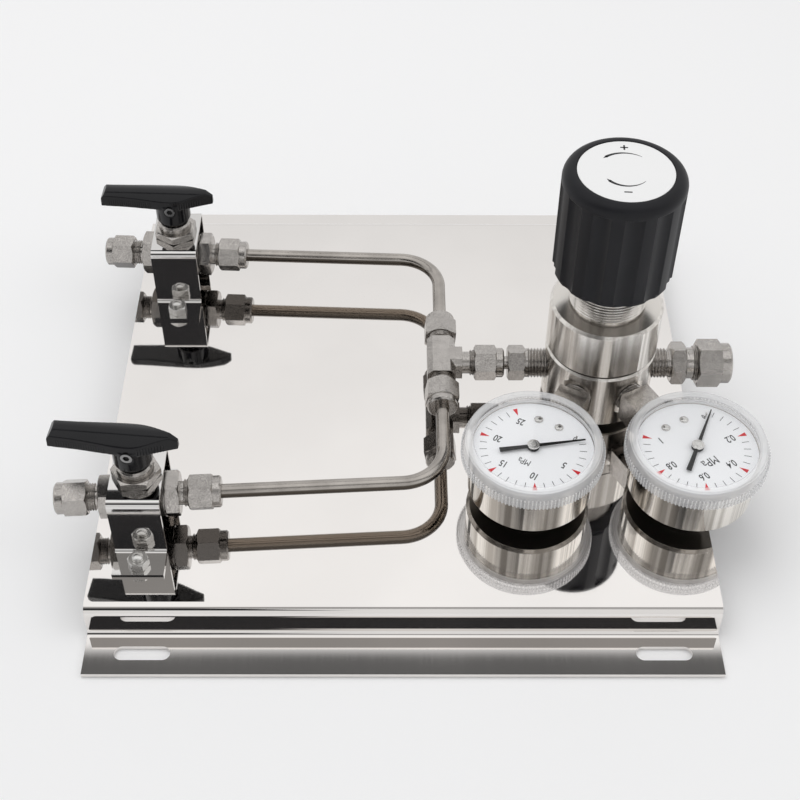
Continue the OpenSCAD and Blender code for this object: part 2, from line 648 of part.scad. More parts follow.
// range spring swept as a round wire coil with flat seats
spring_r = (chamber_d - 0.9) / 2 - 2.1;
wire_r = 1.5;
plate_r = spring_r - wire_r - 0.8;
spring_z0 = reg_body_top + reg_gap + wire_r + 0.2;
spring_z1 = button_z - wire_r - 0.2;
spring_turns = 5.5;
spring_n = 110;
wire_n = 10;
function coil(i) = let (a = 360 * spring_turns * i / spring_n) [spring_r * cos(a), spring_r * sin(a), spring_z0 + (spring_z1 - spring_z0) * i / spring_n];
module range_spring() color([0.5, 0.5, 0.52]) at_reg() polyhedron(
  points = [for (i = [0 : spring_n]) let (c = coil(i), a = 360 * spring_turns * i / spring_n)
    for (j = [0 : wire_n - 1]) let (b = 360 * j / wire_n) [c[0] + wire_r * cos(b) * cos(a), c[1] + wire_r * cos(b) * sin(a), c[2] + wire_r * sin(b)]],
  faces = concat([[for (j = [0 : wire_n - 1]) j]], [[for (j = [0 : wire_n - 1]) spring_n * wire_n + wire_n - 1 - j]],
    [for (i = [0 : spring_n - 1], j = [0 : wire_n - 1]) let (k = (j + 1) % wire_n) each [
      [i * wire_n + j, (i + 1) * wire_n + j, (i + 1) * wire_n + k], [i * wire_n + j, (i + 1) * wire_n + k, i * wire_n + k]]]));

// adjusting screw, knob and label turn together
module adjusting_screw() color(steel) at_reg() translate([0, 0, button_z + 3.7]) cylinder(d = adjust_d, h = knob_top - 12 - button_z - 3.7);
module knob() color(black) at_reg() difference() {
  r = knob_d / 2;
  rotate_extrude() difference() {
    union() {
      translate([0, knob_z]) square([r - 0.8, 3]);
      translate([0, knob_z + 1.6]) square([r, knob_top - knob_z - 1.6 - knob_round]);
      translate([0, knob_top - knob_round - 1]) square([r - knob_round, knob_round + 1]);
      translate([r - knob_round, knob_top - knob_round]) circle(r = knob_round);
    }
    translate([-100, -10]) square([100, 200]);
  }
  for (i = [0 : knob_flutes - 1]) rotate([0, 0, flute_turn + 360 / knob_flutes * (i + 0.5)]) translate([r + flute_r - flute_depth, 0, knob_z - 1]) cylinder(r = flute_r, h = knob_top - flute_stop - knob_z + 1);
  translate([0, 0, knob_z - 1]) cylinder(d = bonnet_neck_d + 2.4, h = bonnet_neck_top + 9 - knob_z + 1);
  translate([0, 0, knob_z]) cylinder(d = adjust_d, h = knob_top - 12 - knob_z);
  translate([0, 0, knob_top - label_t - 0.2]) cylinder(d = label_d + 0.6, h = 5);
}
module knob_label() color([0.95, 0.95, 0.95]) at_reg() translate([0, 0, knob_top - label_t - 0.2]) cylinder(d = label_d, h = label_t);

// outlet connector and nut
module outlet_connector() color(steel) translate([reg_x, line_y, za]) to_px() difference() {
  l = out_nut_x - out_hex_x - out_hex_l + out_nut_hex_l - 2.4;
  union() {
    translate([0, 0, reg_r - 8]) ridges(port_r, out_hex_x - reg_r + 7, 1.41, 0.8);
    translate([0, 0, out_hex_x - 1.1]) cylinder(r = port_r - 0.2, h = 1.2);
    translate([0, 0, out_hex_x]) rotate([0, 0, 10]) hex_bar(out_hex_af, out_hex_l, 0.8);
    translate([0, 0, out_hex_x + out_hex_l]) fitting_neck(out_neck_r, 3.4, l);
  }
  translate([0, 0, out_hex_x + out_hex_l]) fitting_bore(out_bore_r, flow_r + 0.6, l, 9.5);
}
module outlet_nut() translate([reg_x, line_y, za]) to_px() translate([0, 0, out_nut_x]) rotate([0, 0, 14])
  tube_nut(out_nut_af, out_nut_hex_l, out_nut_collar_l, out_neck_r + thread_gap, out_bore_r);

// gauges, built with the axis at the origin and the stem towards +Y
module gauge_socket() color(steel) difference() {
  far = gauge_reach - reg_r + 6;
  near = gauge_reach - spot_face - 3.6;
  union() {
    translate([0, near, 0]) to_py() cylinder(r = port_r - 0.9, h = 1.2);
    translate([0, near + 1, 0]) to_py() ridges(port_r, far - near - 1, 1.41, 0.8);
    translate([0, lens_r + lens_clear, 0]) to_py() translate([-gauge_square / 2, -gauge_square / 2, 0]) cube([gauge_square, gauge_square, near - lens_r - lens_clear + 0.4]);
    translate([0, case_r - 8, 0]) to_py() cylinder(r = 4.4, h = lens_r - case_r + 9);
    box(-6, 6, case_r - 16, case_r - 6, -5, dz - 8);
  }
  translate([0, case_r - 10, 0]) to_py() cylinder(r = 1.2, h = 60);
}
module gauge_case() color(steel) difference() {
  top = dz - 0.6;
  rotate_extrude() polygon([[0, gz + 1.2], [case_r - 9, gz + 1.2], [case_r - 10, gz], [case_r - 1.4, gz], [case_r, gz + 1.4], [case_r, top], [case_r - case_wall - 1.2, top],
    [case_r - case_wall - 1.2, top - 1], [case_r - case_wall, top - 2.2], [case_r - case_wall, gz + 2.2], [0, gz + 2.2]]);
  translate([0, 10, 0]) to_py() cylinder(r = 4.6, h = 40);
}
module gauge_dial() color([0.95, 0.95, 0.96]) difference() {
  translate([0, 0, dz - 0.6]) cylinder(r = case_r - 1.2, h = 0.6);
  translate([0, 0, dz - 2]) cylinder(r = shaft_d / 2 + 0.5, h = 4);
}
module gauge_lens() color([0.8, 0.85, 0.9, 0.4]) {
  r = lens_r;
  in = case_r - 0.9;
  rotate_extrude() polygon([[0, lz - 2.2], [in, lz - 2.2], [in, dz + 0.1], [case_r + 0.3, dz + 0.1], [case_r + 0.3, dz - lens_skirt], [r - 0.5, dz - lens_skirt],
    [r, dz - lens_skirt + 0.5], [r, dz + 1.2], [r - 0.7, dz + 2.6], [r - 1.6, lz - 0.4], [r - 2.2, lz], [in + 0.4, lz], [in - 0.8, lz - 0.7], [0, lz - 0.7]]);
}
module gauge_movement() color([0.75, 0.62, 0.32]) difference() {
  union() {
    translate([0, 0, dz - 8]) cylinder(r = 5, h = 6);
    box(-4, 4, -4, case_r - 9, dz - 7.95, dz - 4.5);
  }
  translate([0, 0, dz - 14]) cylinder(r = shaft_d / 2 + shaft_gap, h = 20);
}
module gauge_pointer() color(black) rotate([0, 0, -pointer_rest]) difference() {
  union() {
    translate([0, 0, dz - 11]) cylinder(d = shaft_d, h = 13);
    translate([0, 0, dz + 0.5]) cylinder(r = 2.6, h = 1.6);
    translate([0, 0, dz + 1.1]) linear_extrude(height = 0.5) polygon([[-0.25, pointer_l], [0.25, pointer_l], [0.75, 2], [0.75, -2], [1.1, -pointer_tail], [-1.1, -pointer_tail], [-0.75, -2], [-0.75, 2]]);
  }
}
module gauge_inlet_socket() at_gauge(-1) gauge_socket();
module gauge_inlet_case() at_gauge(-1) gauge_case();
module gauge_inlet_dial() at_gauge(-1) gauge_dial();
module gauge_inlet_lens() at_gauge(-1) gauge_lens();
module gauge_inlet_movement() at_gauge(-1) gauge_movement();
module gauge_inlet_pointer() at_gauge(-1) gauge_pointer();
module gauge_outlet_socket() at_gauge(1) gauge_socket();
module gauge_outlet_case() at_gauge(1) gauge_case();
module gauge_outlet_dial() at_gauge(1) gauge_dial();
module gauge_outlet_lens() at_gauge(1) gauge_lens();
module gauge_outlet_movement() at_gauge(1) gauge_movement();
module gauge_outlet_pointer() at_gauge(1) gauge_pointer();

base_plate();
bracket_front();
bracket_back();
bracket_screws();
bracket_nuts();
valve_body_front();
valve_body_back();
valve_inlet_end_front();
valve_inlet_end_back();
valve_outlet_end_front();
valve_outlet_end_back();
panel_nut_front();
panel_nut_back();
packing_nut_front();
packing_nut_back();
seats_front();
seats_back();
stem_front();
stem_back();
inlet_nut_front();
inlet_nut_back();
outlet_nut_front();
outlet_nut_back();
handle_front();
handle_back();
set_screw_front();
set_screw_back();
tube_front();
tube_back();
tee_body();
tee_nut_front();
tee_nut_back();
tee_nut_branch();
inlet_adapter();
regulator_body();
regulator_screws();
diaphragm();
bonnet();
spring_button();
range_spring();
adjusting_screw();
knob();
knob_label();
outlet_connector();
outlet_nut();
gauge_inlet_socket();
gauge_inlet_case();
gauge_inlet_dial();
gauge_inlet_lens();
gauge_inlet_movement();
gauge_inlet_pointer();
gauge_outlet_socket();
gauge_outlet_case();
gauge_outlet_dial();
gauge_outlet_lens();
gauge_outlet_movement();
gauge_outlet_pointer();
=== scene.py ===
"""Gas manifold panel in a pale studio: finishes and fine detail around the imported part."""

import json
import math

import bmesh
import bpy
from mathutils import Matrix, Vector


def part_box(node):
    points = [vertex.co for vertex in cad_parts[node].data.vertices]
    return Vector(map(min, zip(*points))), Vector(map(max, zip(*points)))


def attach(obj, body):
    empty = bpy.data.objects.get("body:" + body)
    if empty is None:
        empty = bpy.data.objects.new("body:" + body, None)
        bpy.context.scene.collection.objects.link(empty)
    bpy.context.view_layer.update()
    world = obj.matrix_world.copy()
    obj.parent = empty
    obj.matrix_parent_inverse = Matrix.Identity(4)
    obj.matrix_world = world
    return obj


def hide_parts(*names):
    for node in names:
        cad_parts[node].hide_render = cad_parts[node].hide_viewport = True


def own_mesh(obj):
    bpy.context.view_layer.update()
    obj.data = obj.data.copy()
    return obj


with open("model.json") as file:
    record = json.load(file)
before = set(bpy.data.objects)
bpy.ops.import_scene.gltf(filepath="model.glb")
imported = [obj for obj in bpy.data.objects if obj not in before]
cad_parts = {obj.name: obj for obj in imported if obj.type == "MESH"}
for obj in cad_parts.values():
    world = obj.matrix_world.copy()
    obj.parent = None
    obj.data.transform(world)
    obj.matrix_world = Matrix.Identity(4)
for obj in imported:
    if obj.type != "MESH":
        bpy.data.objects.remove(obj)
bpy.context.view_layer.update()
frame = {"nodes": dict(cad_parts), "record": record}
NODES = frame["nodes"]
MM = 0.001


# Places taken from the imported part

def middle(node):
    low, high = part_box(node)
    return (low + high) / 2


REG = middle("regulator_body")
JOINTS = frame["record"]["behaviour"]["joints"]
PIVOT = {joint["name"]: Vector(joint["pos_m"]) for joint in JOINTS if "pos_m" in joint}


# Node arithmetic for finishes

class Wire:
    """An output in a node tree that takes part in sums; node() adds any other node beside it."""

    def __init__(self, tree, socket=None):
        self.tree, self.socket = tree, socket

    def node(self, kind, settings=None, inputs=None, out=0):
        made = self.tree.nodes.new("ShaderNode" + kind)
        for name, value in (settings or {}).items():
            if name == "stops":
                ramp = made.color_ramp
                while len(ramp.elements) < len(value):
                    ramp.elements.new(0.5)
                for element, (stop, shade) in zip(ramp.elements, value):
                    element.position, element.color = stop, tuple(shade) + (1,)
            else:
                setattr(made, name, value)
        for key, value in (inputs or {}).items():
            if isinstance(value, Wire):
                self.tree.links.new(value.socket, made.inputs[key])
            else:
                made.inputs[key].default_value = value
        return Wire(self.tree, made.outputs[out])

    def maths(self, operation, first, second):
        return self.node("Math", {"operation": operation}, {0: first, 1: second})

    def __add__(self, other):
        return self.maths("ADD", self, other)

    __radd__ = __add__

    def __sub__(self, other):
        return self.maths("SUBTRACT", self, other)

    def __rsub__(self, other):
        return self.maths("SUBTRACT", other, self)

    def __mul__(self, other):
        return self.maths("MULTIPLY", self, other)

    __rmul__ = __mul__

    def __truediv__(self, other):
        return self.maths("DIVIDE", self, other)

    def __pow__(self, other):
        return self.maths("POWER", self, other)

    def ease(self, low, high):
        """0 up to low, 1 from high on, and a smooth step between them."""
        smooth = {"interpolation_type": "SMOOTHSTEP"}
        return self.node("MapRange", smooth, {0: self, 1: low, 2: high})

    def band(self, start, full, fade, end):
        """A step up from start to full, and down again from fade to end."""
        return self.ease(start, full) * (1 - self.ease(fade, end))

    def blend(self, first, second):
        """Colour first where this is 0, second where it is 1."""
        a, b = [c if isinstance(c, Wire) else tuple(c) + (1,) for c in (first, second)]
        return self.node("Mix", {"data_type": "RGBA"}, {0: self, 6: a, 7: b}, 2)

    def parts(self):
        split = self.node("SeparateXYZ", inputs={0: self})
        return [Wire(self.tree, out) for out in split.socket.node.outputs]


def place(wire, shift=(0, 0, 0), scale=(1, 1, 1)):
    """Object coordinates, moved by minus shift, then scaled."""
    here = wire.node("TexCoord", out=3)
    moved = wire.node("VectorMath", {"operation": "SUBTRACT"}, {0: here, 1: tuple(shift)})
    return wire.node("Mapping", inputs={0: moved, 3: tuple(scale)})


def grain(wire, where, scale, detail, rough=0.5):
    noise = {"Vector": where, "Scale": scale, "Detail": detail, "Roughness": rough}
    return wire.node("TexNoise", inputs=noise)


def facing(wire):
    """The direction in which each face looks."""
    return wire.node("NewGeometry", out=1)


def upward(wire, low, high):
    """0 on faces that look down, rising to 1 on faces that look up; the finishes paint shade and
    fade painted reflections with it.
    """
    return facing(wire).parts()[2].ease(low, high)


def sprung_wall(wire, amount):
    """The normal of folded sheet: upright walls lean back a little, as a bend springs open."""
    normal = facing(wire)
    across = normal.parts()[1]
    lift = wire.node("CombineXYZ", inputs={2: (across * across).ease(0.80, 0.97) * amount})
    leaning = wire.node("VectorMath", {"operation": "ADD"}, {0: normal, 1: lift})
    return wire.node("VectorMath", {"operation": "NORMALIZE"}, {0: leaning})


def relief(wire, height, depth, strength, edge=0.0, lean=None):
    """A fine bump, over edges rounded by edge or over normals that lean."""
    inputs = {"Height": height, "Distance": depth, "Strength": strength}
    if edge:
        inputs["Normal"] = wire.node("Bevel", {"samples": 4}, {"Radius": edge})
    if lean is not None:
        inputs["Normal"] = lean
    return wire.node("Bump", inputs=inputs)


def new_finish(name):
    mat = bpy.data.materials.new(name)
    mat.use_nodes = True
    shader = mat.node_tree.nodes["Principled BSDF"]
    return mat, shader, Wire(mat.node_tree)


def feed(wire, shader, **sockets):
    for key, value in sockets.items():
        socket = shader.inputs[key.replace("_", " ")]
        if isinstance(value, Wire):
            wire.tree.links.new(value.socket, socket)
        else:
            socket.default_value = value


def scaled(shade, share):
    return [c * share for c in shade]


# Finishes

def mirror_finish(name, shade, rough):
    """Polished sheet with a faint haze, fine scuffs and a slight wave."""
    mat, shader, w = new_finish(name)
    here = place(w)
    haze = grain(w, here, 14, 3)
    scuff = grain(w, place(w, scale=(900, 6, 6)), 1.0, 2)
    wave = grain(w, here, 9, 0)
    feed(w, shader, Metallic=1.0, Roughness=rough + 0.02 * haze + 0.02 * scuff,
         Base_Color=haze.ease(0.3, 0.7).blend(scaled(shade, 0.95), shade),
         Normal=relief(w, wave, 0.2 * MM, 0.25, lean=sprung_wall(w, 0.05)))
    return mat


def blasted_finish(name, dark, light, rough):
    """Satin fitting steel with a fine blasted grain, soft edges, and painted shade that darkens
    faces as they turn down, darkest on the undersides.
    """
    mat, shader, w = new_finish(name)
    here = place(w)
    fine = grain(w, here, 3800, 2, 0.6)
    cloud = grain(w, here, 220, 3)
    tone = (fine * 0.85 + cloud * 0.15).ease(0.3, 0.72)
    # Painted shade: the colour darkens on faces that look down, and darker still on the undersides.
    shade = upward(w, -0.2, 0.95).blend(scaled(dark, 0.62), dark)
    clear_of_underside_shade = upward(w, -0.55, -0.25)
    feed(w, shader, Metallic=1.0, Roughness=rough + 0.14 * fine,
         Base_Color=clear_of_underside_shade.blend(scaled(dark, 0.5), tone.blend(shade, light)),
         Normal=relief(w, fine, 0.04 * MM, 0.5, edge=0.25 * MM))
    return mat


def turned_finish(name, dark, light, rough, centre, pitch):
    """Lathe-turned steel: fine rings round an upright axis, painted reflections as upright streaks
    on the sides, and painted shade on the faces that look down.
    """
    mat, shader, w = new_finish(name)
    rings = grain(w, place(w, centre, scale=(40, 40, pitch)), 1.0, 2, 0.6)
    # Painted reflections: upright light and dark streaks in the colour of the sides, faded to an
    # even tone on faces that look up.
    reflection_streaks = grain(w, place(w, centre, scale=(260, 260, 2)), 1.0, 3, 0.6)
    reflection_free_top = upward(w, 0.5, 0.9)
    tone = (rings * 0.1 + reflection_streaks * 0.9).ease(0.38, 0.62) * (1 - reflection_free_top) + 0.4 * reflection_free_top
    # Painted shade: faces that look down take a much darker colour.
    foot = 1 - upward(w, -0.9, -0.5)
    feed(w, shader, Metallic=1.0, Roughness=rough + 0.05 * rings + 0.2 * foot,
         Base_Color=foot.blend(tone.blend(dark, light), scaled(dark, 0.3)),
         Normal=relief(w, rings, 0.01 * MM, 0.3, edge=0.2 * MM),
         Anisotropic=0.8, Anisotropic_Rotation=0.25)
    return mat


def drawn_finish(name, dark, light, rough, underside_shade_colour=None):
    """Drawn steel with a fine grain; the last argument, when given, is the colour of painted shade
    on the lower side, which pales again on faces that look straight down.
    """
    mat, shader, w = new_finish(name)
    here = place(w)
    fine = grain(w, here, 1500, 2, 0.6)
    tone = grain(w, here, 90, 3).ease(0.3, 0.7).blend(dark, light)
    # Painted shade: the lower side darkens to the given colour, and faces that look straight down
    # take a paler painted shade.
    if underside_shade_colour:
        underside_shade_tone = upward(w, -0.8, -0.3).blend(scaled(underside_shade_colour, 3.2), underside_shade_colour)
        tone = upward(w, 0.34, 0.52).blend(underside_shade_tone, tone)
    feed(w, shader, Base_Color=tone, Metallic=1.0, Roughness=rough + 0.08 * fine,
         Normal=relief(w, fine, 0.02 * MM, 0.4))
    return mat


def plastic_finish(name, shade, rough, pit=1800, depth=0.03 * MM, shine=0.5, edge=0.0):
    """Moulded plastic or ink, with fine pits and a faint cloud."""
    mat, shader, w = new_finish(name)
    here = place(w)
    fine = grain(w, here, pit, 2, 0.6)
    cloud = grain(w, here, 60, 3)
    paler = [c * 1.25 + 0.001 for c in shade]
    feed(w, shader, Base_Color=cloud.ease(0.35, 0.7).blend(shade, paler),
         Roughness=rough + 0.08 * fine + 0.06 * cloud,
         Normal=relief(w, fine, depth, 0.5, edge), Specular_IOR_Level=shine)
    return mat


def white_finish(name, shade, rough):
    """White paint or plastic with a very fine grain."""
    mat, shader, w = new_finish(name)
    fine = grain(w, place(w), 2400, 2)
    feed(w, shader, Base_Color=fine.ease(0.2, 0.8).blend(scaled(shade, 0.975), shade),
         Roughness=rough + 0.05 * fine, Normal=relief(w, fine, 0.01 * MM, 0.3))
    return mat


WINDOW = 25.1 * MM
# Radii of painted dark bands in the lens rim: an edge line at the lip and shade in the valleys
# between the teeth.
LENS_LIP_DARK_LINE = [r * MM for r in (27.8, 28.0, 28.4, 28.6)]
LENS_VALLEY_SHADE = [r * MM for r in (28.6, 28.9, 29.8, 30.1)]


def lens_finish(name, centre):
    """Clear moulded plastic: a thin window in a milky rim, with painted dark rings in the rim:
    lines at the window's edge and the lip, standing for light bent by the clear plastic at an edge,
    and painted shade in the valleys between the teeth.
    """
    mat, shader, w = new_finish(name)
    x, y = place(w, centre).parts()[:2]
    reach = (x * x + y * y) ** 0.5
    rim = reach.ease(WINDOW - 0.2 * MM, WINDOW + 0.2 * MM)
    cloud = grain(w, place(w, centre), 300, 3)
    body = cloud.ease(0.3, 0.7).blend((0.95, 0.955, 0.97), (0.99, 0.99, 0.995))
    # Painted dark lines at the window's inner edge and at the lip, and painted shade in the valleys
    # between the teeth.
    window_edge_dark_line = 1 - reach.ease(WINDOW + 0.2 * MM, WINDOW + 0.6 * MM)
    rings = (window_edge_dark_line + reach.band(*LENS_LIP_DARK_LINE) * 0.5) * 0.55 + reach.band(*LENS_VALLEY_SHADE) * 0.5
    feed(w, shader, Base_Color=rings.blend(body, (0.34, 0.34, 0.35)), Roughness=0.05 + 0.06 * cloud)
    plastic = Wire(w.tree, shader.outputs[0])
    clear = w.node("BsdfTransparent", inputs={0: (1, 1, 1, 1)})
    gloss = w.node("BsdfGlossy", inputs={"Roughness": 0.03})
    front = 1 - w.node("NewGeometry", out=6)
    shadow_ray, diffuse_ray = [w.node("LightPath", out=i) for i in (1, 2)]
    shine = w.node("Fresnel", inputs={"IOR": 1.45}) * ((1 - shadow_ray) * (1 - diffuse_ray) * front)
    pane = w.node("MixShader", inputs={0: shine, 1: clear, 2: gloss})
    milky = w.node("MixShader", inputs={0: 0.45, 1: clear, 2: plastic})
    both = w.node("MixShader", inputs={0: rim, 1: pane, 2: milky})
    w.tree.links.new(both.socket, w.tree.nodes["Material Output"].inputs[0])
    return mat


FINISH = {
    "mirror_sheet": mirror_finish("mirror_sheet", (0.88, 0.85, 0.825), rough=0.015),
    "bright_sheet": mirror_finish("bright_sheet", (0.76, 0.745, 0.73), rough=0.04),
    "fitting_steel": blasted_finish("fitting_steel", dark=(0.27, 0.254, 0.24),
                                    light=(0.72, 0.685, 0.65), rough=0.13),
    # Turned steel, and the gauge cases below, carry painted reflection streaks and painted
    # underside shade.
    "turned_steel": turned_finish("turned_steel", dark=(0.62, 0.585, 0.545),
                                  light=(0.99, 0.96, 0.915), rough=0.19, centre=REG, pitch=9000),
    # Tube steel carries painted shade on its lower side.
    "tube_steel": drawn_finish("tube_steel", dark=(0.38, 0.352, 0.325), light=(0.50, 0.465, 0.43),
                               rough=0.15, underside_shade_colour=(0.09, 0.077, 0.064)),
    "screw_steel": drawn_finish("screw_steel", dark=(0.60, 0.59, 0.57),
                                light=(0.78, 0.77, 0.75), rough=0.22),
    "set_steel": drawn_finish("set_steel", dark=(0.22, 0.22, 0.22),
                              light=(0.32, 0.32, 0.32), rough=0.2),
    "spring_steel": drawn_finish("spring_steel", dark=(0.30, 0.30, 0.31),
                                 light=(0.45, 0.45, 0.46), rough=0.25),
    "brass": drawn_finish("brass", dark=(0.55, 0.40, 0.16), light=(0.75, 0.58, 0.28), rough=0.25),
    "gloss_black": plastic_finish("gloss_black", (0.002, 0.002, 0.003), rough=0.07,
                                  pit=900, depth=0.01 * MM, shine=0.32),
    "grip_black": plastic_finish("grip_black", (0.006, 0.006, 0.008), rough=0.36,
                                 pit=2600, shine=0.28, edge=0.6 * MM),
    "pointer_black": plastic_finish("pointer_black", (0.006, 0.006, 0.006), rough=0.30, shine=0.3),
    "ink_black": plastic_finish("ink_black", (0.012, 0.012, 0.013), rough=0.5),
    "ink_red": plastic_finish("ink_red", (0.62, 0.02, 0.03), rough=0.5),
    "label_white": white_finish("label_white", (0.90, 0.90, 0.90), rough=0.35),
    "dial_white": white_finish("dial_white", (0.96, 0.97, 0.99), rough=0.40),
    "seat_plastic": white_finish("seat_plastic", (0.82, 0.82, 0.79), rough=0.45),
}
CASE, LENS = {}, {}
# The gauge cases take the turned finish, with its painted reflection streaks and painted underside
# shade.
for side in ("inlet", "outlet"):
    spot = PIVOT["pointer_%s_turn" % side]
    CASE[side] = turned_finish("case_steel_" + side, dark=(0.46, 0.43, 0.39),
                               light=(0.94, 0.905, 0.85), rough=0.07, centre=spot, pitch=5000)
    LENS[side] = lens_finish("clear_lens_" + side, spot)

for part in frame["record"]["subparts"]:
    name, slot = part["node"], part["material_slot"]
    side = "inlet" if "_inlet_" in name else "outlet"
    gauge = {"case_steel": CASE[side], "clear_lens": LENS[side]}
    mat = gauge.get(slot) or FINISH[slot]
    if name.startswith("set_screw"):
        mat = FINISH["set_steel"]
    NODES[name].data.materials.clear()
    NODES[name].data.materials.append(mat)


# Modelling by hand, with sizes in millimetres where a function multiplies by MM

def begin(add, **sizes):
    """A new primitive, alone in the selection and open in edit mode, all of it selected."""
    bpy.ops.object.select_all(action="DESELECT")
    add(**sizes)
    bpy.ops.object.transform_apply(location=True, rotation=True, scale=True)
    bpy.ops.object.mode_set(mode="EDIT")
    return bpy.context.object


def rod(radius, depth, sides, at=(0, 0, 0), turn=(0, 0, 0)):
    """A round bar to start from, open in edit mode."""
    return begin(bpy.ops.mesh.primitive_cylinder_add, vertices=sides, radius=radius * MM,
                 depth=depth * MM, location=[c * MM for c in at], rotation=turn)


def choose(piece, kind, test):
    """Selects the verts, edges or faces that pass the test, and nothing else."""
    bpy.ops.mesh.select_mode(type={"verts": "VERT", "edges": "EDGE", "faces": "FACE"}[kind])
    bpy.ops.mesh.select_all(action="DESELECT")
    mesh = bmesh.from_edit_mesh(piece.data)
    for item in getattr(mesh, kind):
        if test(item):
            item.select_set(True)
    mesh.select_flush_mode()
    bmesh.update_edit_mesh(piece.data)


def choose_top(piece):
    choose(piece, "faces", lambda f: f.normal.z > 0.9)


def choose_foot(piece):
    choose(piece, "faces", lambda f: f.normal.z < -0.9)


def level_with(value, level):
    return abs(value - level * MM) < 1e-5


def inset(width, depth, **more):
    bpy.ops.mesh.inset(thickness=width * MM, depth=depth * MM, **more)


def round_edges(width):
    bpy.ops.mesh.bevel(offset=width * MM, segments=2, affect="EDGES")


def slice_at(point, normal, **more):
    bpy.ops.mesh.select_all(action="SELECT")
    bpy.ops.mesh.bisect(plane_co=point, plane_no=normal, **more)


def close(piece, angle=30):
    """Merged, faces outward, back in object mode and smooth where the surface turns gently."""
    bpy.ops.mesh.select_all(action="SELECT")
    bpy.ops.mesh.remove_doubles(threshold=1e-7)
    bpy.ops.mesh.normals_make_consistent(inside=False)
    bpy.ops.object.mode_set(mode="OBJECT")
    bpy.ops.object.shade_smooth_by_angle(angle=math.radians(angle))
    return piece


def alone(piece):
    bpy.ops.object.select_all(action="DESELECT")
    piece.select_set(True)
    bpy.context.view_layer.objects.active = piece


def modify(piece, kind, **settings):
    alone(piece)
    made = piece.modifiers.new(kind.lower(), kind)
    for name, value in settings.items():
        setattr(made, name, value)
    bpy.ops.object.modifier_apply(modifier=made.name)


def combine(piece, other, operation):
    modify(piece, "BOOLEAN", object=other, operation=operation, solver="EXACT")
    bpy.data.objects.remove(other)


def join(pieces):
    alone(pieces[0])
    for other in pieces[1:]:
        other.select_set(True)
    bpy.ops.object.join()
    return pieces[0]


def twin(piece):
    """A copy of a piece, with a mesh of its own."""
    copy = piece.copy()
    copy.data = piece.data.copy()
    bpy.context.collection.objects.link(copy)
    return copy


def spread(base, places):
    """Copies of one modelled shape, one for each place, joined as one mesh."""
    copies = [twin(base) for _ in places]
    for copy, spot in zip(copies, places):
        copy.data.transform(spot)
    bpy.data.objects.remove(base)
    return join(copies)


def settle(piece, name, body, finish, stands_for=None, spot=None):
    """Names a finished piece, puts it in place, gives it its finish and lets it ride on a body."""
    if spot is not None:
        piece.data.transform(spot)
    piece.name = piece.data.name = name
    piece.data.materials.clear()
    piece.data.materials.append(finish)
    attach(piece, body)
    if stands_for:
        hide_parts(stands_for)


def turned(angle):
    return Matrix.Rotation(math.radians(angle), 4, "Z")


# Lever handles: stations along the grip and half its width there, from the stem's axis

LEVER = [(-32.6, 5.26), (-21.2, 5.77), (-11.4, 6.64), (-3.9, 7.3),
         (3.0, 7.3), (7.9, 5.99), (13.5, 3.8), (19.8, 1.46)]
LEVER_TAIL, LEVER_MIDDLE, LEVER_TIP, LEVER_LONG = -32.6, -6.4, 19.8, 52.4
SKIRT_FOOT, BLADE_MIDDLE, BLADE_TOP, BLADE_TALL = 9.0, 12.1, 15.2, 6.2
BLADE_STEPS = 32
RIB_ROWS = ((-28.8, -9.2), (4.4, 14.2))
RIB_PITCH = 1.05


def lever_half(x):
    """Half the lever's width at x, on a smooth line through its stations."""
    last = len(LEVER) - 1
    at = max(i for i in range(last) if LEVER[i][0] <= x or i == 0)
    (x0, w0), (x1, w1) = LEVER[at], LEVER[at + 1]

    def slope(i):
        low, high = LEVER[max(i - 1, 0)], LEVER[min(i + 1, last)]
        return (high[1] - low[1]) / (high[0] - low[0])

    span = x1 - x0
    t = (x - x0) / span
    return (w0 * (1 + 2 * t) * (1 - t) ** 2 + w1 * t * t * (3 - 2 * t)
            + span * (slope(at) * t * (1 - t) ** 2 - slope(at + 1) * t * t * (1 - t)))


def lever_blade():
    """The grip: a tapering bar with a flared skirt, a crowned top and slanted ends."""
    blade = begin(bpy.ops.mesh.primitive_cube_add, size=1,
                  location=(LEVER_MIDDLE * MM, 0, BLADE_MIDDLE * MM),
                  scale=(LEVER_LONG * MM, 2 * MM, BLADE_TALL * MM))
    stations = [LEVER_TAIL + LEVER_LONG * i / BLADE_STEPS for i in range(BLADE_STEPS + 1)]
    for x in stations[1:-1]:
        slice_at((x * MM, 0, 0), (1, 0, 0))
    for x in stations:
        for z, less in ((SKIRT_FOOT, 0.0), (BLADE_TOP, 0.95)):
            choose(blade, "verts", lambda v: level_with(v.co.x, x) and level_with(v.co.z, z))
            bpy.ops.transform.resize(value=(1, lever_half(x) - less, 1),
                                     center_override=(x * MM, 0, z * MM))
    close(blade)
    crown = close(rod(12, 80, 160, (LEVER_MIDDLE, 0, 3.2), (0, math.pi / 2, 0)))
    combine(blade, crown, "INTERSECT")
    bpy.ops.object.mode_set(mode="EDIT")
    for x, lean in ((LEVER_TAIL, math.radians(140)), (LEVER_TIP, math.radians(58))):
        slice_at((x * MM, 0, 12.9 * MM), (math.cos(lean), 0, math.sin(lean)),
                 clear_outer=True, use_fill=True)
    return close(blade)


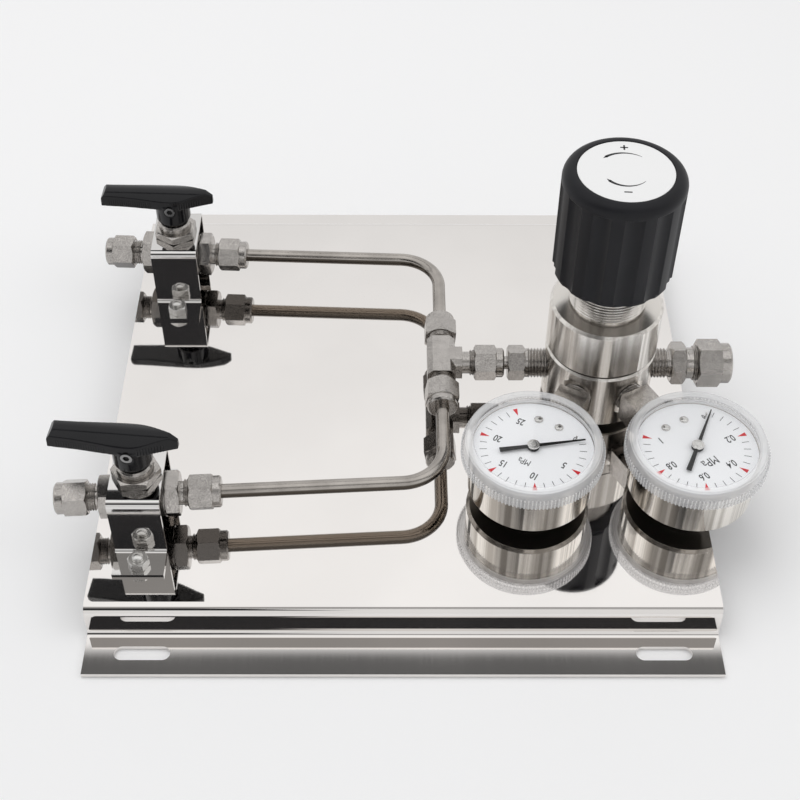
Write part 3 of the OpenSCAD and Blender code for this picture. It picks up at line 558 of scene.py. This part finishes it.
def lever_ribs():
    """Fine upright ribs along both sides of the skirt, plain at the hub and at the far end."""
    rib = rod(0.40, 3.1, 8)
    choose_top(rib)
    bpy.ops.transform.resize(value=(0.6, 0.6, 1), center_override=(0, 0, 1.55 * MM))
    close(rib)
    places = []
    for start, end in RIB_ROWS:
        count = round((end - start) / RIB_PITCH)
        for i in range(count + 1):
            x = start + (end - start) * i / count
            for way in (1, -1):
                spot = Matrix.Translation((x * MM, way * (lever_half(x) - 0.42) * MM, 10.9 * MM))
                places.append(spot @ Matrix.Rotation(way * math.radians(8.7), 4, "X"))
    return spread(rib, places)


def lever_handle():
    """Grip and hub in one moulding with soft edges, bored for the stem and the set screw."""
    handle = lever_blade()
    hub = rod(8.1, 10.5, 96, (0, 0, 5.25))
    choose_foot(hub)
    round_edges(0.4)
    combine(handle, close(hub), "UNION")
    bore = close(rod(3.0, 12, 64, (0, 0, 4.8)))
    combine(handle, bore, "DIFFERENCE")
    hole = close(rod(2.5, 20, 48, (0, -10, 8.2), (math.pi / 2, 0, 0)))
    combine(handle, hole, "DIFFERENCE")
    modify(handle, "REMESH", mode="VOXEL", voxel_size=0.28 * MM, use_smooth_shade=True)
    modify(handle, "SMOOTH", factor=0.5, iterations=5)
    alone(handle)
    bpy.ops.object.shade_smooth()
    return join([handle, lever_ribs()])


# Gauge lenses, dials and pointers, from the middle of the dial's face

LENS_LOW, LENS_HIGH, LENS_RADIUS = -4.6, 5.0, 29.7
TOOTH_ROWS = [(LENS_LOW + 0.5, LENS_LOW + 2.9), (LENS_LOW + 3.3, LENS_LOW + 5.6)]
TOOTH_STEP = 1.5
INK = 0.03 * MM
ZERO_MARK, MAJOR_STEP, MINOR_STEP = 45, 54, 10.8


def gauge_lens():
    """A moulded lens ring: window, rim with a cone above, two rows of grip teeth below."""
    lens = rod(LENS_RADIUS, LENS_HIGH - LENS_LOW, 240, (0, 0, (LENS_HIGH + LENS_LOW) / 2))
    for level in [z for row in TOOTH_ROWS for z in row] + [LENS_LOW + 6.1, LENS_HIGH - 0.5]:
        slice_at((0, 0, level * MM), (0, 0, 1))
    for level, radius in ((LENS_HIGH - 0.5, 28.7), (LENS_HIGH, 28.1), (LENS_LOW, 29.2)):
        choose(lens, "verts", lambda v: level_with(v.co.z, level))
        share = radius / LENS_RADIUS
        bpy.ops.transform.resize(value=(share, share, 1), center_override=(0, 0, level * MM))
    choose_top(lens)
    inset(1.9, 0)
    inset(1.2, -0.7)
    choose_foot(lens)
    for width, depth in ((2.2, 0), (0.001, -4.7), (1.2, 0), (0.001, -2.3)):
        inset(width, depth)

    def tooth(face):
        spot = face.calc_center_median()
        inside = any(a * MM < spot.z < b * MM for a, b in TOOTH_ROWS)
        angle = math.degrees(math.atan2(spot.y, spot.x)) % 360
        step = round(angle / TOOTH_STEP - 0.5)
        return inside and spot.xy.length > 29 * MM and step % 2 == 0

    choose(lens, "faces", tooth)
    inset(0.14, 0.56, use_individual=True)
    return close(lens, 25)


def print_plate(add, stretch, **sizes):
    """A thin printed mark: a flat primitive, stretched to size and given the thickness of ink."""
    mark = begin(add, **sizes)
    bpy.ops.transform.resize(value=stretch + (1,), center_override=(0, 0, 0))
    bpy.ops.mesh.extrude_region_move(TRANSFORM_OT_translate={"value": (0, 0, INK)})
    return close(mark)


def figure(text, size, narrow, bold, x, y):
    """A printed number or unit in narrow type, upright on the dial, which is away from the stem."""
    bpy.ops.object.select_all(action="DESELECT")
    bpy.ops.object.text_add()
    word = bpy.context.object
    word.data.body, word.data.size = text, size * MM
    word.data.align_x, word.data.align_y = "CENTER", "CENTER"
    word.data.extrude, word.data.offset = INK / 2, bold * MM
    bpy.ops.object.convert(target="MESH")
    word = bpy.context.object
    shape = turned(180) @ Matrix.Diagonal((narrow, 1, 1, 1))
    word.data.transform(Matrix.Translation((x * MM, y * MM, INK)) @ shape)
    return word


def on_dial(angle, radius):
    """A place on the dial, clockwise from the stem side, with +Y turned outward."""
    return turned(-angle) @ Matrix.Translation((0, radius * MM, 0.02 * MM))


def dial_print(numbers, unit_size):
    """The dial's black figures and fine marks, and its red arrows."""
    majors = [ZERO_MARK + MAJOR_STEP * i for i in range(6)]
    minors = [ZERO_MARK + MINOR_STEP * i for i in range(1, 25) if i % 5]
    tick = print_plate(bpy.ops.mesh.primitive_plane_add, (0.24, 3.0), size=MM)
    black = [spread(tick, [on_dial(a, 21.0) for a in minors])]
    for angle, number in zip(majors, numbers):
        lean = math.radians(angle)
        size, reach = (3.2, 18.6) if number == "0" else (4.9, 15.5)
        x, y = reach * math.sin(lean), reach * math.cos(lean)
        black.append(figure(number, size, narrow=0.7, bold=0.06, x=x, y=y))
    black.append(figure("MPa", unit_size, narrow=0.74, bold=0.0, x=0, y=-8.6))
    arrow = print_plate(bpy.ops.mesh.primitive_circle_add, (0.45, 1), vertices=3,
                        radius=2.65 * MM, fill_type="NGON", rotation=(0, 0, math.pi))
    red = spread(arrow, [on_dial(a, 21.7) for a in majors[1:]])
    return join(black), red


def dial_fasteners():
    """Two domed screws beside the stem line and the stop pin by the zero mark."""
    screw = rod(1.95, 0.7, 32)
    choose_top(screw)
    for width, depth in ((0.35, 0.30), (0.45, 0.22), (0.55, 0.12)):
        inset(width, depth)
    screws = spread(close(screw, 60), [on_dial(a, 16.3) for a in (-17, 17)])
    pin = rod(0.42, 2.4, 20, (0, 0, 1.2))
    choose_top(pin)
    round_edges(0.18)
    close(pin, 40).data.transform(on_dial(47.9, 18.9))
    return join([screws, pin])


def pointer_cap():
    """The turned cap on the pointer's hub: a raised ring round a small centre."""
    cap = rod(2.65, 0.5, 64, (0, 0, 2.2))
    choose_top(cap)
    round_edges(0.15)
    choose(cap, "faces", lambda f: f.normal.z > 0.99 and f.calc_area() > 5e-6)
    for width, depth in ((0.5, 0), (0.15, -0.15), (0.8, 0.05), (0.15, 0.2)):
        inset(width, depth)
    return close(cap, 30)


# Knob label print

def bent_arrow(radius, head, tail):
    """A curved stroke that thins towards its tail, with a barbed head. Angles in degrees."""
    stroke = begin(bpy.ops.mesh.primitive_grid_add, x_subdivisions=40, y_subdivisions=1, size=1)
    mesh = bmesh.from_edit_mesh(stroke.data)
    for vert in mesh.verts:
        along = vert.co.x + 0.5
        angle = math.radians(head + (tail - head) * along)
        thick = 1.15 * (1 - along) ** 0.9 + 0.16
        reach = radius + vert.co.y * thick
        vert.co = Vector((reach * math.cos(angle), reach * math.sin(angle), 0)) * MM
    bmesh.update_edit_mesh(stroke.data)
    bpy.ops.mesh.select_all(action="SELECT")
    bpy.ops.mesh.extrude_region_move(TRANSFORM_OT_translate={"value": (0, 0, INK)})
    close(stroke)
    barb = print_plate(bpy.ops.mesh.primitive_circle_add, (0.55, 1), vertices=3,
                       radius=1.5 * MM, fill_type="NGON")
    lean = math.radians(head)
    end = Matrix.Translation((radius * math.cos(lean) * MM, radius * math.sin(lean) * MM, 0))
    barb.data.transform(end @ turned(head if head > tail else head + 180))
    return join([stroke, barb])


def label_print():
    """A plus sign with its curved arrow above, a minus sign with its own below."""
    bars = []
    for height, shape in ((15.6, (3.2, 0.7)), (15.6, (0.7, 3.2)), (-13.4, (3.2, 0.7))):
        bar = print_plate(bpy.ops.mesh.primitive_plane_add, shape, size=MM)
        bar.data.transform(Matrix.Translation((0, height * MM, 0)))
        bars.append(bar)
    upper = bent_arrow(radius=11.9, head=131, tail=55)
    lower = bent_arrow(radius=9.6, head=222, tail=320)
    return join([upper, lower] + bars)


# Range spring

SPRING_WIRE, SPRING_TURNS, STEPS_A_TURN = 1.5 * MM, 5.5, 28


def wound_coil(radius, wire, rise, turns):
    """Round wire wound up an upright axis, its two ends closed flat."""
    piece = begin(bpy.ops.mesh.primitive_circle_add, vertices=16, radius=wire,
                  location=(radius, 0, wire), rotation=(math.pi / 2, 0, 0))
    bpy.ops.object.mode_set(mode="OBJECT")
    steps = round(STEPS_A_TURN * turns)
    modify(piece, "SCREW", angle=2 * math.pi * turns, screw_offset=rise,
           steps=steps, render_steps=steps)
    bpy.ops.object.mode_set(mode="EDIT")
    bpy.ops.mesh.select_all(action="SELECT")
    bpy.ops.mesh.fill_holes(sides=0)
    return close(piece, 40)


# The pieces in their places

def dress_handles():
    pattern = lever_handle()
    for side, angle in (("front", -5.6), ("back", -2.4)):
        piece = twin(pattern) if side == "front" else pattern
        node = "handle_" + side
        pivot = PIVOT[node + "_turn"]
        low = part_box(node)[0].z
        settle(piece, "lever_" + side, node, FINISH["gloss_black"], node,
               Matrix.Translation((pivot.x, pivot.y, low)) @ turned(angle))


def dress_gauges():
    gauges = (("inlet", -29, 4.4, ("0", "5", "10", "15", "20", "25")),
              ("outlet", 29, 6.0, ("0", "0.2", "0.4", "0.6", "0.8", "1")))
    steel = FINISH["screw_steel"]
    for side, way, unit_size, numbers in gauges:
        pointer = "pointer_" + side
        pivot = PIVOT[pointer + "_turn"]
        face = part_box("gauge_%s_dial" % side)[1].z
        spot = Matrix.Translation((pivot.x, pivot.y, face)) @ turned(way)
        black, red = dial_print(numbers, unit_size)
        settle(black, "dial_figures_" + side, "panel", FINISH["ink_black"], spot=spot)
        settle(red, "dial_arrows_" + side, "panel", FINISH["ink_red"], spot=spot)
        settle(dial_fasteners(), "dial_screws_" + side, "panel", steel, spot=spot)
        settle(pointer_cap(), "pointer_cap_" + side, pointer, steel, spot=spot)
        settle(gauge_lens(), "lens_" + side, "panel", LENS[side],
               "gauge_%s_lens" % side, spot)


def dress_spring():
    """The range spring, which shortens as the knob drives its button down, here wound at the length
    of the imported one.
    """
    low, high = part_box("range_spring")
    wire = SPRING_WIRE
    foot = Vector((REG.x, REG.y, low.z))
    piece = wound_coil((high.x - low.x) / 2 - wire, wire, high.z - low.z - 2 * wire, SPRING_TURNS)
    settle(piece, "range_coil", "panel", FINISH["spring_steel"], "range_spring",
           Matrix.Translation(foot))
    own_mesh(piece)


def dress_knob():
    spot = Matrix.Translation((REG.x, REG.y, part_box("knob_label")[1].z)) @ turned(-3)
    settle(label_print(), "label_marks", "knob", FINISH["ink_black"], spot=spot)


dress_handles()
dress_gauges()
dress_spring()
dress_knob()


# Stage: floor, light and camera

SKY = [(0.0, (0.80,) * 3), (0.60, (0.80,) * 3), (0.80, (1.0,) * 3), (1.0, (1.0,) * 3)]
BOOTH_SHADE, WALL_SHADE = (0.03, 0.03, 0.032), (0.34, 0.335, 0.33)
GAP_SHADE, EVEN_SHADE = (0.12, 0.12, 0.12), (0.62, 0.62, 0.62)


def studio_floor():
    bpy.ops.object.select_all(action="DESELECT")
    bpy.ops.mesh.primitive_plane_add(size=8, location=(0, 1, -0.3 * MM))
    floor = bpy.context.object
    floor.name = "floor"
    mat, shader, w = new_finish("floor_paper")
    feed(w, shader, Base_Color=(0.96, 0.96, 0.965, 1), Roughness=0.9, Specular_IOR_Level=0.1)
    floor.data.materials.append(mat)


def studio_world():
    """A pale room with dark bands on the front side, and an even grey as diffuse light."""
    world = bpy.data.worlds.new("studio")
    bpy.context.scene.world = world
    world.use_nodes = True
    w = Wire(world.node_tree)
    x, y, z = w.node("TexCoord", out=0).parts()
    sky = w.node("ValToRGB", {"stops": SKY}, {0: z})
    front = 0 - y
    near, far = front.ease(0.10, 0.30), y.ease(0.10, 0.25)
    rise_near, rise_far = z / front, z / y
    left = ((0 - x) / front - (rise_near - 0.82) * 0.25).ease(0.07, 0.11)
    strip = rise_near.band(1.05, 1.09, 1.22, 1.27)
    booth = near * (rise_near.band(0.52, 0.66, 1.26, 1.46) * left + strip).ease(0.0, 1.0)
    wall = near * rise_near.band(1.26, 1.46, 2.0, 3.0)
    gap = far * rise_far.band(1.50, 1.54, 1.83, 1.88)
    shown = booth.blend(wall.blend(gap.blend(sky, GAP_SHADE), WALL_SHADE), BOOTH_SHADE)
    diffuse_ray = w.node("LightPath", out=2)
    mixed = diffuse_ray.blend(shown, EVEN_SHADE)
    background = world.node_tree.nodes["Background"]
    world.node_tree.links.new(mixed.socket, background.inputs[0])
    background.inputs[1].default_value = 1.0


def studio_lamp(name, spot, aim, size, power):
    bpy.ops.object.light_add(type="AREA", location=spot)
    lamp = bpy.context.object
    lamp.name = name
    lamp.data.shape, lamp.data.size, lamp.data.energy = "DISK", size, power
    lamp.rotation_euler = (Vector(spot) - Vector(aim)).to_track_quat("Z", "Y").to_euler()
    lamp.visible_glossy = False


def studio_camera():
    bpy.ops.object.camera_add(location=(-4.044 * MM, -455.38 * MM, 493.295 * MM),
                              rotation=[math.radians(a) for a in (43.362, -0.2369, -0.1143)])
    camera = bpy.context.object
    camera.data.sensor_width, camera.data.lens = 36, 63.818
    camera.data.clip_start, camera.data.clip_end = 0.01, 50
    bpy.context.scene.camera = camera


studio_floor()
studio_world()
studio_lamp("softbox", spot=(-0.35, 0.25, 1.3), aim=(0, 0, 0), size=1.2, power=5.5)
studio_lamp("fill", spot=(0.9, -0.2, 0.9), aim=(0, 0, 0.05), size=0.9, power=1.6)
studio_camera()
bpy.context.scene.view_settings.view_transform = "Standard"
